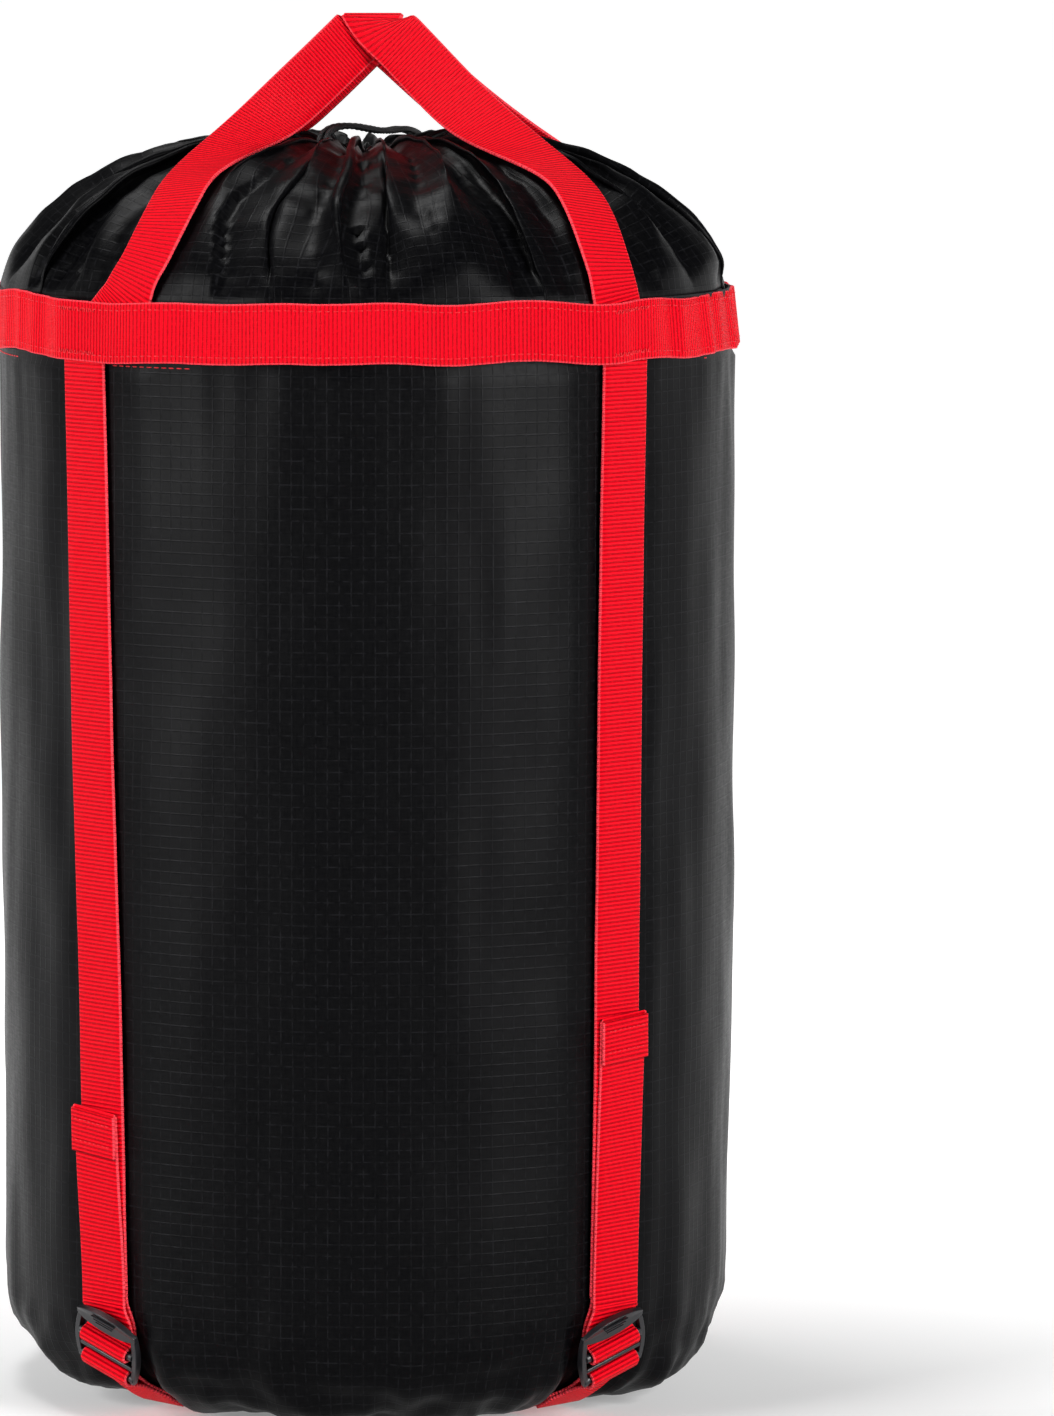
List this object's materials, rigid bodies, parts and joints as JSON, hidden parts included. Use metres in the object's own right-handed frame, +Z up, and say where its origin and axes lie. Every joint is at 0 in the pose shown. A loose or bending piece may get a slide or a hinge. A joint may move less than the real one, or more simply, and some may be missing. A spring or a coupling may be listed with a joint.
{
  "type": "compression sack",
  "caption": "Cylindrical cloth stuff sack with a drawn mouth, a webbing shoulder ring, compression straps in ladder locks and two webbing carry loops.",
  "frame": {"origin": "centre of the footprint, on the surface that the sack stands on", "axes": "+Z up along the sack's axis, -Y the front, +X to the right seen from the front; the four straps lie on the diagonals"},
  "size_m": [0.3236, 0.3294, 0.6007],
  "materials": {
    "ripstop_nylon": "coated ripstop weave, soft sheen",
    "nylon_webbing": "woven, cross ribs",
    "binding_tape": "woven, matt",
    "drawcord": "braided, matt",
    "moulded_acetal": "moulded, satin",
    "spring_steel": "drawn wire",
    "bonded_thread": "sewn thread"
  },
  "bodies": {
    "root": {"base_panel": "ripstop_nylon", "base_seam_binding": "binding_tape", "base_cross_strap_a": "nylon_webbing", "base_cross_strap_b": "nylon_webbing", "lower_wall": "ripstop_nylon", "anchor_loop_front_left": "nylon_webbing", "anchor_loop_front_right": "nylon_webbing", "anchor_loop_back_left": "nylon_webbing", "anchor_loop_back_right": "nylon_webbing", "strap_run_front_left": "nylon_webbing", "strap_run_front_right": "nylon_webbing", "strap_run_back_left": "nylon_webbing", "strap_run_back_right": "nylon_webbing"},
    "top": {"upper_wall": "ripstop_nylon", "shoulder_seam_binding": "binding_tape", "shoulder_ring": "nylon_webbing", "strap_bar_tacks": "bonded_thread", "gathered_top": "ripstop_nylon", "drawcord_channel": "ripstop_nylon", "drawcord_in_channel": "drawcord", "drawcord_left": "drawcord", "drawcord_right": "drawcord", "cord_knot_left": "drawcord", "cord_knot_right": "drawcord"},
    "carry_front": {"carry_loop_front": "nylon_webbing"},
    "carry_back": {"carry_loop_back": "nylon_webbing"},
    "cord_lock": {"cord_lock_barrel": "moulded_acetal", "cord_lock_spring": "spring_steel"},
    "plunger": {"cord_lock_plunger": "moulded_acetal"},
    "lock_front_left": {"ladder_lock_front_left": "moulded_acetal", "strap_wrap_front_left": "nylon_webbing"},
    "tail_front_left": {"strap_tail_front_left": "nylon_webbing"},
    "lock_front_right": {"ladder_lock_front_right": "moulded_acetal", "strap_wrap_front_right": "nylon_webbing"},
    "tail_front_right": {"strap_tail_front_right": "nylon_webbing"},
    "lock_back_left": {"ladder_lock_back_left": "moulded_acetal", "strap_wrap_back_left": "nylon_webbing"},
    "tail_back_left": {"strap_tail_back_left": "nylon_webbing"},
    "lock_back_right": {"ladder_lock_back_right": "moulded_acetal", "strap_wrap_back_right": "nylon_webbing"},
    "tail_back_right": {"strap_tail_back_right": "nylon_webbing"}
  },
  "joints": [
    {"name": "compress", "type": "slide", "parent": "root", "child": "top", "axis": [0, 0, 1], "range_m": [-0.2, 0], "deforming": ["strap_run_front_left", "strap_run_front_right", "strap_run_back_left", "strap_run_back_right"]},
    {"name": "carry_front_swing", "type": "hinge", "parent": "top", "child": "carry_front", "pos_m": [0, -0.127, 0.484], "axis": [1, 0, 0], "range_deg": [0, 130]},
    {"name": "carry_back_swing", "type": "hinge", "parent": "top", "child": "carry_back", "pos_m": [0, 0.127, 0.484], "axis": [-1, 0, 0], "range_deg": [0, 130]},
    {"name": "cord_lock_slide", "type": "slide", "parent": "top", "child": "cord_lock", "axis": [0, 0.829, -0.5592], "range_m": [0, 0.015]},
    {"name": "plunger_press", "type": "slide", "parent": "cord_lock", "child": "plunger", "axis": [1, 0, 0], "range_m": [-0.0032, 0], "stiffness_N_per_m": 500, "springref_m": 0.005, "deforming": ["cord_lock_spring"]},
    {"name": "lock_tilt_front_left", "type": "hinge", "parent": "root", "child": "lock_front_left", "pos_m": [-0.10161, -0.11806, 0.02442], "axis": [0.7579, -0.6523, 0], "range_deg": [0, 35]},
    {"name": "tail_pull_front_left", "type": "slide", "parent": "root", "child": "tail_front_left", "axis": [-0.0453, -0.0041, 0.999], "range_m": [0, 0.2]},
    {"name": "lock_tilt_front_right", "type": "hinge", "parent": "root", "child": "lock_front_right", "pos_m": [0.10665, -0.11352, 0.02442], "axis": [0.7288, 0.6847, 0], "range_deg": [0, 35]},
    {"name": "tail_pull_front_right", "type": "slide", "parent": "root", "child": "tail_front_right", "axis": [0.0333, -0.0161, 0.9993], "range_m": [0, 0.2]},
    {"name": "lock_tilt_back_left", "type": "hinge", "parent": "root", "child": "lock_back_left", "pos_m": [-0.11014, 0.11014, 0.02442], "axis": [-0.7071, -0.7071, 0], "range_deg": [0, 35]},
    {"name": "tail_pull_back_left", "type": "slide", "parent": "root", "child": "tail_back_left", "axis": [-0.0247, 0.0247, 0.9994], "range_m": [0, 0.2]},
    {"name": "lock_tilt_back_right", "type": "hinge", "parent": "root", "child": "lock_back_right", "pos_m": [0.11014, 0.11014, 0.02442], "axis": [-0.7071, 0.7071, 0], "range_deg": [0, 35]},
    {"name": "tail_pull_back_right", "type": "slide", "parent": "root", "child": "tail_back_right", "axis": [0.0247, 0.0247, 0.9994], "range_m": [0, 0.2]}
  ],
  "couplings": [
    {"joint": "tail_pull_front_left", "follows": "compress", "ratio": -1},
    {"joint": "tail_pull_front_right", "follows": "compress", "ratio": -1},
    {"joint": "tail_pull_back_left", "follows": "compress", "ratio": -1},
    {"joint": "tail_pull_back_right", "follows": "compress", "ratio": -1}
  ]
}
